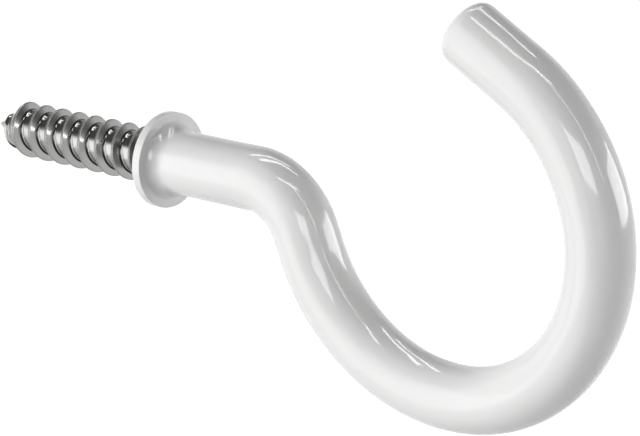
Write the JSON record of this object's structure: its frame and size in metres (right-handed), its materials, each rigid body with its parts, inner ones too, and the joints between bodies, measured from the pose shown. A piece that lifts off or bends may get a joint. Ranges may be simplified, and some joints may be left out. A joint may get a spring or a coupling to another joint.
{
  "type": "screw hook",
  "caption": "Screw hook of bent steel wire: a bare wood-screw thread, a round collar, a short shank and a wide open bow, with a glossy white plastic coat over the collar and the hook.",
  "frame": {"origin": "centre of the collar's back face, on the screw's axis, where the collar seats on the wall or shelf", "axes": "+X along the screw's axis out of the wall, from the point towards the bow; +Z the way the bow opens, up in use; the bow lies in the XZ plane"},
  "size_m": [0.0538, 0.0064, 0.0282],
  "materials": {
    "steel": "bright plated, as rolled",
    "coating": "glossy white dip coat"
  },
  "bodies": {
    "root": {"steel_hook": "steel", "plastic_coating": "coating"}
  },
  "joints": []
}
